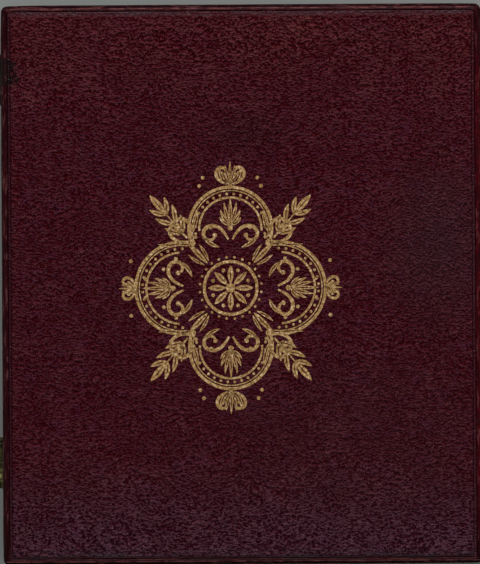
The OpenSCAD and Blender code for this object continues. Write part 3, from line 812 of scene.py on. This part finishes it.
toolingForm = {
    "centre": Vector((-1.9 * mm, -0.6 * mm)),
    "thickness": 0.06,
    "proud": 0.018,            # of the gold above the panel, in millimetres like the rest
    "rimProud": 0.007,         # of the leather pressed round it, painted as shade
    "veinProud": 0.023,        # of the lines left bare in the leaves
    "rim": 0.13,
    "topLobe": (10.0, 7.0),    # centre and radius of the lobes at head and foot, in millimetres
    "sideLobe": (8.2, 7.78),   # the same for the lobes at the sides
    "lines": ((0.0, 0.50, 0.0), (-0.56, 0.20, 4.0), (-1.75, 0.36, 16.0)),  # way out, width, degrees cut off
    "beads": (9, 1.12, 0.24),  # between the lines: how many to a quarter, way in and radius
}


def stroke(bm, start, heading, length, bend, widths, curl=0.0, steps=14, vein=False):
    # a ribbon that turns by bend in all, more towards its end where it curls, and changes width on the way
    def widthAt(t):
        a, b, c = widths
        return (1 - t) ** 2 * a + 2 * t * (1 - t) * (2 * b - (a + c) / 2) + t ** 2 * c

    point, angle = Vector((start[0], start[1], 0)), math.radians(heading)
    side = Vector((-math.sin(angle), math.cos(angle), 0)) * widthAt(0) / 2
    ribbon = bmesh.new()
    edge = ribbon.edges.new([ribbon.verts.new(point + side), ribbon.verts.new(point - side)])
    for k in range(steps):
        turn = math.radians(bend) * (curl + 1) * ((k + 0.5) / steps) ** curl / steps
        verts, sides = growRing(ribbon, [edge])
        edge = next(e for e in sides if set(e.verts) == set(verts))
        move = Vector((math.cos(angle + turn / 2), math.sin(angle + turn / 2), 0)) * (length / steps)
        point += move
        angle += turn
        size = widthAt((k + 1) / steps) / widthAt(k / steps)
        here = Matrix.Translation(-point)
        bmesh.ops.translate(ribbon, verts=verts, vec=move)
        bmesh.ops.rotate(ribbon, verts=verts, cent=point, matrix=Matrix.Rotation(turn, 3, "Z"))
        bmesh.ops.scale(ribbon, verts=verts, vec=(size, size, 1), space=here)
    for face in ribbon.faces:
        face.material_index = int(vein)
    addPart(bm, ribbon)
    return point.x, point.y


def onWay(at, heading, length):  # the point that lies so far from another
    angle = math.radians(heading)
    return (at[0] + math.cos(angle) * length, at[1] + math.sin(angle) * length)


def dot(bm, at, radius):
    made = bmesh.ops.create_circle(bm, cap_ends=True, radius=radius, segments=12)
    bmesh.ops.translate(bm, verts=made["verts"], vec=(at[0], at[1], 0))


def leaf(bm, at, heading, length, width, bend=0.0):
    stroke(bm, at, heading, length, bend, (0.12, width * 0.75, 0.08), steps=12)
    if width > 0.6:
        root = onWay(at, heading + bend * 0.1, length * 0.2)
        heading += bend * 0.2
        stroke(bm, root, heading, length * 0.55, bend * 0.55, (0.08, 0.17, 0.04), steps=6, vein=True)


def arcLine(bm, centre, radius, start, end, width):  # part of a circle, angles in degrees
    turn = end - start
    length = abs(math.radians(turn)) * radius
    steps = max(8, round(abs(turn) / 6))
    at = onWay(centre, start, radius)
    stroke(bm, at, start + math.copysign(90, turn), length, turn, (width,) * 3, steps=steps)


def palmette(bm, at, heading, size):  # a fan of leaves on a small pair of curls
    for turn, long, bend in ((0, 1.0, 0), (24, 0.86, 18), (50, 0.68, 34), (78, 0.5, 50)):
        for way in ((1,) if turn == 0 else (1, -1)):
            leaf(bm, at, heading + way * turn, size * long, size * 0.17, -way * bend)
    dot(bm, onWay(at, heading, -size * 0.10), size * 0.10)


def spray(bm, at, heading, size, bend):  # a curved stem with leaves on both sides
    stroke(bm, at, heading, size * 0.62, bend * 0.62, (0.34, 0.28, 0.2))
    for share, long in ((0.12, 0.34), (0.34, 0.36), (0.56, 0.32)):
        root = onWay(at, heading + bend * share / 2, size * share)
        for way in (1, -1):
            leaf(bm, root, heading + bend * share + way * 48, size * long, size * 0.12, -way * 30)
    tip = onWay(at, heading + bend * 0.31, size * 0.6)
    leaf(bm, tip, heading + bend * 0.62, size * 0.42, size * 0.16)


def scroll(bm, at, heading, size, way, width):  # a curl that ends in a bead
    widths = (width * 0.5, width, width * 0.6)
    end = stroke(bm, at, heading, size * 2.1, way * 330, widths, curl=0.9, steps=26)
    dot(bm, end, width * 0.62)


toolingMotifs = (  # of one quarter, round its two lobes: what it is, where, and its other values
    (scroll, (0.35, 8.2), 62, 4.3, -1, 0.62), (scroll, (8.0, 0.35), 24, 4.3, 1, 0.62),
    (leaf, (1.9, 6.9), 14, 3.3, 0.9, 40), (leaf, (6.5, 1.9), 72, 3.3, 0.9, -40),
    (leaf, (3.9, 4.2), 46, 4.6, 1.2),
    (leaf, (4.4, 3.9), 22, 3.2, 0.7, 20), (leaf, (3.7, 4.6), 70, 3.2, 0.7, -20),
    (dot, (5.9, 8.6), 0.30), (dot, (9.2, 5.0), 0.30), (dot, (3.3, 10.2), 0.30), (dot, (11.3, 3.2), 0.30),
    (dot, (1.6, 15.0), 0.30), (dot, (14.4, 1.6), 0.30),
    # outside them at head, foot and sides
    (scroll, (0.5, 17.5), 20, 3.0, 1, 0.55), (leaf, (0.6, 17.4), 50, 3.4, 0.8, 36),
    (scroll, (16.1, 0.4), 72, 2.2, -1, 0.48),
    (dot, (5.2, 17.2), 0.32), (dot, (4.6, 18.6), 0.32), (dot, (16.8, 4.6), 0.32),
)
fans = (  # that stand on the middle lines: place, heading and size
    ((0, 17.6), 90, 3.7), ((0, -17.6), -90, 3.7), ((16.3, 0), 0, 2.5), ((-16.3, 0), 180, 2.5),
    ((0, 10.6), 90, 4.6), ((0, -10.6), -90, 4.6), ((10.2, 0), 0, 4.6), ((-10.2, 0), 180, 4.6),
)


def makeTooling(form):
    quarter = bmesh.new()
    topY, topR = form["topLobe"]
    sideX, sideR = form["sideLobe"]
    # where the two lobes of a quarter meet
    apart = math.hypot(sideX, topY)
    along = (apart ** 2 + topR ** 2 - sideR ** 2) / (2 * apart)
    across = math.sqrt(max(topR ** 2 - along ** 2, 0))
    cuspX = sideX * along / apart + topY * across / apart
    cuspY = topY - topY * along / apart + sideX * across / apart
    topEnd = math.degrees(math.atan2(cuspY - topY, cuspX))
    sideStart = math.degrees(math.atan2(cuspY, cuspX - sideX))
    for out, width, trim in form["lines"]:
        arcLine(quarter, (0, topY), topR + out, 90, topEnd + trim, width)
        arcLine(quarter, (sideX, 0), sideR + out, sideStart - trim, 0, width)
    count, wayIn, beadR = form["beads"]
    lobes = (((0, topY), topR, 90, topEnd + 6), ((sideX, 0), sideR, sideStart - 6, 0))
    for k in range(count):
        for centre, radius, start, end in lobes:
            dot(quarter, onWay(centre, start + (end - start) * (k + 0.5) / count, radius - wayIn), beadR)
    dot(quarter, (cuspX, cuspY), 0.70)
    spray(quarter, (cuspX + 0.7, cuspY + 0.8), 49, 9.4, 0)
    for way, heading, (atX, atY) in ((1, 6, (0.9, 0.1)), (-1, 92, (0.0, 1.1))):
        scroll(quarter, (cuspX + atX, cuspY + atY), heading, 3.6, way, 0.6)
        leaf(quarter, (cuspX + atX * 1.4, cuspY + atY * 1.4), heading - way * 26, 4.4, 0.8, way * 30)
    for motif, *values in toolingMotifs:
        motif(quarter, *values)
    for axis in ((-1, 1, 1), (1, -1, 1)):
        everything = quarter.verts[:] + quarter.edges[:] + quarter.faces[:]
        copied = bmesh.ops.duplicate(quarter, geom=everything)["geom"]
        bmesh.ops.scale(quarter, verts=vertsOf(copied), vec=axis)
    for at, heading, size in fans:
        palmette(quarter, at, heading, size)
    # the flower in the middle
    for turn in range(0, 360, 45):
        leaf(quarter, onWay((0, 0), turn, 0.8), turn, 3.0, 1.35)
        dot(quarter, onWay((0, 0), turn + 22.5, 3.2), 0.32)
    dot(quarter, (0, 0), 0.80)
    arcLine(quarter, (0, 0), 4.45, 0, 360, 0.50)
    for turn in range(0, 360, 15):
        dot(quarter, onWay((0, 0), turn + 7.5, 5.2), 0.22)
    return quarter


def layTooling(name, form, material, pressed):
    # lays the tooling on the panel: the gold, or else the leather pressed round it, painted as shade, and in its
    # veins
    bm = makeTooling(form)
    veins = [f for f in bm.faces if f.material_index]
    gold = [f for f in bm.faces if not f.material_index]
    for face in bm.faces:
        if face.normal.z < 0:
            face.normal_flip()
    if pressed:
        bmesh.ops.inset_region(bm, faces=gold, thickness=form["rim"], use_boundary=True,
                               use_even_offset=True, use_outset=True)
    bmesh.ops.delete(bm, geom=gold if pressed else veins, context="FACES")
    height = form["rimProud"] if pressed else form["proud"]
    for face in bm.faces:
        for v in face.verts:
            v.co.z = form["veinProud"] if face.material_index else height
        face.material_index = 0
    made = bmesh.ops.extrude_face_region(bm, geom=bm.faces[:], use_keep_orig=True)["geom"]
    bmesh.ops.translate(bm, verts=vertsOf(made), vec=(0, 0, -form["thickness"]))
    bmesh.ops.recalc_face_normals(bm, faces=bm.faces)
    bmesh.ops.scale(bm, verts=bm.verts, vec=(mm, mm, mm))
    top = 2 * hingeZ - faceLow.z
    for v in bm.verts:
        v.co.x += form["centre"].x
        v.co.y += form["centre"].y
        v.co.z += top - panelDip(v.co.x, v.co.y, panelForm, backSalt)
    return makePiece(name, bm, material, "tray")


goldLeaf = makeGilding("gold leaf", moroccoLook)
pressedLeatherAndShade = makePressed("pressed leather", moroccoLook)
giltTooling = layTooling("giltTooling", toolingForm, goldLeaf, pressed=False)
pressedLines = layTooling("pressedLines", toolingForm, pressedLeatherAndShade, pressed=True)
print("gilt tooling laid,", len(giltTooling.data.polygons), len(pressedLines.data.polygons), "faces")


# The velvet pad in the cover

padForm = {
    "gap": 0.5 * mm,
    "flatness": 4,
    "sides": 2.55 * mm,           # height of its straight sides
    "depth": 0.34 * mm,           # of the pressed lines
    "line": 0.55 * mm,            # their half width
    "borders": (0.86, 0.79),      # pressed lines along the edge, as shares of the way out
    "wayOut": 36 * mm,
    "flowers": (                  # x, y, size and petals
        (0, 0, 12.5, 8), (0, 0, 2.4, 0), (0, 25, 7.0, 6), (0, -25, 7.0, 6),
        (18, 25, 6.0, 4), (-18, 25, 6.0, 4), (18, -25, 6.0, 4), (-18, -25, 6.0, 4)),
    "waist": 0.42,                # how near the petals come to the flower's middle
    "beads": (17.5, 28),          # size of the beaded ring and its number of beads
    "puff": 0.05 * mm,
    "puffSize": 6 * mm,
}


def onLine(distance, form):  # 1 on a pressed line, 0 well away from it
    return math.exp(-(distance / form["line"]) ** 2)


def pressedDesign(x, y, u, w, form):  # from 0 to 1 where the pile is pressed down
    pressed = 0.0
    reach = (abs(u) ** 5 + abs(w) ** 5) ** 0.2
    for share in form["borders"]:
        pressed = max(pressed, onLine((reach - share) * form["wayOut"], form))
    for flowerX, flowerY, size, petals in form["flowers"]:
        outX, outY = x / mm - flowerX, y / mm - flowerY
        radius, angle = math.hypot(outX, outY), math.atan2(outY, outX)
        petal = size * (form["waist"] + (1 - form["waist"]) * abs(math.cos(petals * angle / 2)) ** 0.7)
        pressed = max(pressed, onLine((radius - petal) * mm, form))
    ringSize, beads = form["beads"]
    beaded = 0.5 + 0.5 * math.cos(beads * math.atan2(y, x))
    return max(pressed, onLine(math.hypot(x, y) - ringSize * mm, form) * beaded)


def makePad(form):
    low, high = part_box("pad_velvet")
    padW, padH = high.x - low.x, high.y - low.y
    crown = high.z - low.z - form["sides"]
    bm = bmesh.new()
    layer = bm.verts.layers.float.new("pressed")
    cutsX, cutsY = (round(s / form["gap"]) for s in (padW, padH))
    bmesh.ops.create_grid(bm, x_segments=cutsX, y_segments=cutsY, size=0.5)
    ring = [e for e in bm.edges if e.is_boundary]
    for v in bm.verts:  # closer together towards the edges, where the form turns down
        u, w = (math.sin(math.pi * c) for c in v.co.xy)
        x, y = u * padW / 2, w * padH / 2
        fall = max(0.0, (1 - u ** form["flatness"]) * (1 - w ** form["flatness"]))
        v[layer] = pressedDesign(x, y, u, w, form)
        puff = form["puff"] * noise.noise(Vector((x, y, 0)) / form["puffSize"])
        v.co = (x, y, low.z + form["sides"] + crown * math.sqrt(fall) + puff - form["depth"] * v[layer])
    for z in (low.z + form["sides"] * 0.5, low.z):
        verts, ring = growRing(bm, ring)
        for v in verts:
            v.co.z = z
    bmesh.ops.contextual_create(bm, geom=ring)
    bmesh.ops.recalc_face_normals(bm, faces=bm.faces)
    velvet = makeVelvet("pad velvet", *velvetLook, pressed=True)
    piece = makePiece("velvetPad", bm, velvet, "cover", ["pad_velvet"], 70.0)
    return piece


velvetLook = (srgb(60, 4, 14), srgb(112, 18, 34), srgb(34, 2, 9))  # deep, light and crushed
velvetPad = makePad(padForm)
print("pad made")


# The picture in the tray

matForm = {
    "openW": 50.0, "openH": 63.0,  # millimetres
    "lip": 0.05 * mm,
    "bevel": 0.55 * mm,
    "burnished": 1.4 * mm,
    "groove": ((0.12 * mm, 0.10 * mm), (0.30 * mm, 0.10 * mm), (0.42 * mm, 0.0)),  # way out and depth
    "airGap": 0.03 * mm,  # to the glass
    "sides": 128,
}


def makeMat(form):
    low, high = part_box("mat")
    low.z += form["airGap"]
    bm = bmesh.new()
    bmesh.ops.create_circle(bm, cap_ends=False, radius=0.5, segments=form["sides"])
    size = (form["openW"] * mm, form["openH"] * mm)
    bmesh.ops.scale(bm, verts=bm.verts, vec=(*size, 1))
    bmesh.ops.translate(bm, verts=bm.verts, vec=(0, 0, high.z))
    opening = bm.edges[:]
    # the tray hangs the mat face down, so its front is the lower side
    flat = form["bevel"] + form["burnished"]
    steps = [(0.0, high.z - form["lip"]), (form["bevel"], low.z), (flat, low.z)]
    steps += [(flat + out, low.z + dip) for out, dip in form["groove"]]
    ring = sweepRing(bm, opening, size, [(-out, z) for out, z in steps], (0.0, high.z))
    reachX, reachY = (s / 2 + steps[-1][0] for s in size)
    for z in (low.z, high.z):  # out to the square edge, then up its thickness
        verts, ring = growRing(bm, ring)
        for v in verts:
            if z == low.z:
                reach = max(abs(v.co.x) / reachX, abs(v.co.y) / reachY)
                v.co.x *= (high.x - low.x) / 2 / reachX / reach
                v.co.y *= (high.y - low.y) / 2 / reachY / reach
            v.co.z = z
    bmesh.ops.bridge_loops(bm, edges=opening + ring)
    bmesh.ops.recalc_face_normals(bm, faces=bm.faces)
    band = 1 + 4 * flat / sum(size)
    material = makePebbled("pebbled gilt mat", form["openW"], form["openH"], band)
    return makePiece("giltMat", bm, material, "tray", ["mat"])


preserverForm = {
    "cornerR": 0.30 * mm,
    "gap": 1.2 * mm,
    "foil": 0.15 * mm,
    "fold": 1.6 * mm,       # how far it is folded over the back
    "backR": 0.12 * mm,
    "frontR": 0.20 * mm,
    "face": 3.6 * mm,
    "outer": (0.20 * mm, 0.90 * mm, 0.28 * mm),   # two raised mouldings: start, width and height
    "inner": (2.65 * mm, 0.85 * mm, 0.224 * mm),
    "rest": 0.05 * mm,      # flat beside them
    "beadR": 0.34 * mm,
    "beadGap": 0.86 * mm,
    "beadIn": 1.85 * mm,
}


def ridge(start, width, height, z):  # points of a moulding, both ends left out
    return [(start + width * k / 9, z - height * math.sin(math.pi * k / 9)) for k in range(1, 9)]


def makePreserver(form):
    low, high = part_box("preserver")
    width, height = high.x - low.x, high.y - low.y
    front, back, foil, fold = low.z, high.z, form["foil"], form["fold"]
    backR, frontR, face = form["backR"], form["frontR"], form["face"]
    outer, inner = form["outer"], form["inner"]
    profile = [(foil, back - foil), (fold, back - foil), (fold, back), (backR, back), (0, back - backR)]
    profile += [(0, front + frontR), (frontR * 0.3, front + frontR * 0.3), (frontR, front)]
    profile += ridge(*outer, front)
    profile += [(outer[0] + outer[1] + form["rest"], front), (inner[0] - form["rest"], front)]
    profile += ridge(*inner, front)
    profile += [(face, front), (face, front + foil), (foil, front + foil)]
    bm = ringLoft(width, height, form["cornerR"], form["gap"], profile)
    halfX, halfY = width / 2 - form["beadIn"], height / 2 - form["beadIn"]
    countX, countY = round(2 * halfX / form["beadGap"]), round(2 * halfY / form["beadGap"])
    spots = [(-halfX + 2 * halfX * k / countX, way * halfY) for k in range(countX + 1) for way in (1, -1)]
    spots += [(way * halfX, -halfY + 2 * halfY * k / countY) for k in range(1, countY) for way in (1, -1)]
    for x, y in spots:
        bead = bmesh.new()
        place = Matrix.Translation((x, y, front)) @ Matrix.Diagonal((1, 1, 0.75, 1))
        bmesh.ops.create_uvsphere(bead, u_segments=8, v_segments=5, radius=form["beadR"], matrix=place)
        addPart(bm, bead)
    material = makeBrass("gilt foil", srgb(226, 186, 108), srgb(184, 140, 70), srgb(92, 66, 34), 0.24, 0.34)
    return makePiece("giltPreserver", bm, material, "tray", ["preserver"], 50.0)


giltMat = makeMat(matForm)
giltPreserver = makePreserver(preserverForm)
stripRound = 0.16 * mm
shortVelvet = makeVelvet("strip velvet", *velvetLook)
stripVelvet = softened("stripVelvet", "strip_velvet", stripRound, shortVelvet, "tray")
print("mat, preserver and velvet strip made")


# The clasps

claspForm = {
    "hookRound": 0.09 * mm,  # rounding of the edges
    "partRound": 0.06 * mm,
    "bodies": {"hook_nail": "cover", "hook_washer": "cover", "stud": "tray", "stud_washer": "tray"},
}
agedBrass = makeBrass("aged brass", srgb(116, 110, 68), srgb(90, 84, 52), srgb(28, 28, 18), 0.58, 0.56)
inkedBrass = makeBrass("inked brass", srgb(84, 68, 54), srgb(60, 48, 40), srgb(26, 22, 18), 0.60, 0.58)
for clasp, brass in (("upper", inkedBrass), ("lower", agedBrass)):
    hook = clasp + "_hook"
    softened(clasp + "Hook", hook, claspForm["hookRound"], brass, hook, 3)
    for part, body in claspForm["bodies"].items():
        name = clasp + "".join(word.capitalize() for word in part.split("_"))
        softened(name, clasp + "_" + part, claspForm["partRound"], brass, body)
print("clasps made")


# The boards, rounded where the leather is rounded over their corners

boardRound = 0.35 * mm
planedWood = makeWood("planed wood")
for half in ("cover", "tray"):
    softened(half + "Board", half + "_board", boardRound, planedWood, half)


# The parts that keep their CAD shapes

finishes = {
    "case_wood": planedWood,
    "lining_paper": makePaper("lining paper", srgb(96, 18, 30), srgb(66, 14, 24), 3.0),
    "card": makePaper("pasteboard", srgb(206, 192, 162), srgb(176, 158, 124), 2.0),
    "wadding": makePaper("wadding", srgb(226, 220, 204), srgb(204, 196, 176), 1.2),
    "sealing_paper": makePaper("gummed paper", srgb(196, 178, 140), srgb(152, 126, 88), 2.4),
    "silvered_plate": makeSilver("silvered plate", matForm["openW"], matForm["openH"]),
    "cover_glass": makeGlass("old glass"),
}
for subpart in frame["record"]["subparts"]:
    finish = finishes.get(subpart["material_slot"])
    if finish:
        mesh = nodes[subpart["node"]].data
        mesh.materials.clear()
        mesh.materials.append(finish)
print("finishes given to", len(finishes), "slots")


# Floor, lights and camera

stageForm = {
    "floor": 1.2,
    "frameH": 95.09 * mm,   # height of the photograph at the case's face
    "centre": (-0.32 * mm, 0.39 * mm),
    "lens": 300.0,
    "sensor": 36.0,
    "turn": -0.33,          # the case lies a little turned in the frame
    "lamps": (              # name, place, size and power
        ("headLamp", (0.0, 0.64, 0.32), (0.60, 0.12), 7.4),
        ("footLamp", (0.0, -0.62, 0.34), (0.60, 0.20), 1.5),
        ("hookLamp", (-0.62, -0.10, 0.30), (0.30, 0.20), 0.5),
        ("spineLamp", (0.62, -0.10, 0.30), (0.30, 0.20), 0.5)),
    "room": (0.9, 0.95, 1.0, 1.0),
    "roomLight": 0.15,
}


def makeFloor(form):
    bm = bmesh.new()
    bmesh.ops.create_grid(bm, x_segments=4, y_segments=4, size=form["floor"] / 2)
    mesh = bpy.data.meshes.new("floor")
    bm.to_mesh(mesh)
    bm.free()
    paint = Paint("pale floor", Specular_IOR_Level=0.1, Roughness=0.9)
    tone = paint.noise(paint.spot(), 0.02, 2.0)
    colour = paint.blend(srgb(125, 129, 126), srgb(133, 136, 133), tone)
    mesh.materials.append(paint.finish(Base_Color=colour))
    addObject("floor", mesh)


def makeLamp(name, place, size, power):
    lamp = bpy.data.lights.new(name, "AREA")
    lamp.shape, lamp.size, lamp.size_y, lamp.energy = "RECTANGLE", size[0], size[1], power
    holder = addObject(name, lamp)
    holder.location = place
    holder.rotation_mode = "QUATERNION"
    holder.rotation_quaternion = (-Vector(place)).to_track_quat("-Z", "Y")


def makeRoom(form):
    world = bpy.data.worlds.new("room")
    world.use_nodes = True
    background = world.node_tree.nodes["Background"]
    background.inputs["Color"].default_value = form["room"]
    background.inputs["Strength"].default_value = form["roomLight"]
    bpy.context.scene.world = world


def makeCamera(form):
    camera = bpy.data.cameras.new("camera")
    camera.lens, camera.sensor_width = form["lens"], form["sensor"]
    holder = addObject("camera", camera)
    distance = form["frameH"] * form["lens"] / form["sensor"]
    holder.location = (*form["centre"], 2 * hingeZ + distance)
    holder.rotation_euler = (0, 0, math.radians(form["turn"]))
    camera.clip_start, camera.clip_end = distance * 0.1, distance * 4
    bpy.context.scene.camera = holder


makeFloor(stageForm)
for lamp in stageForm["lamps"]:
    makeLamp(*lamp)
makeRoom(stageForm)
makeCamera(stageForm)
bpy.context.scene.view_settings.view_transform = "Standard"
print("floor, lamps and camera placed")
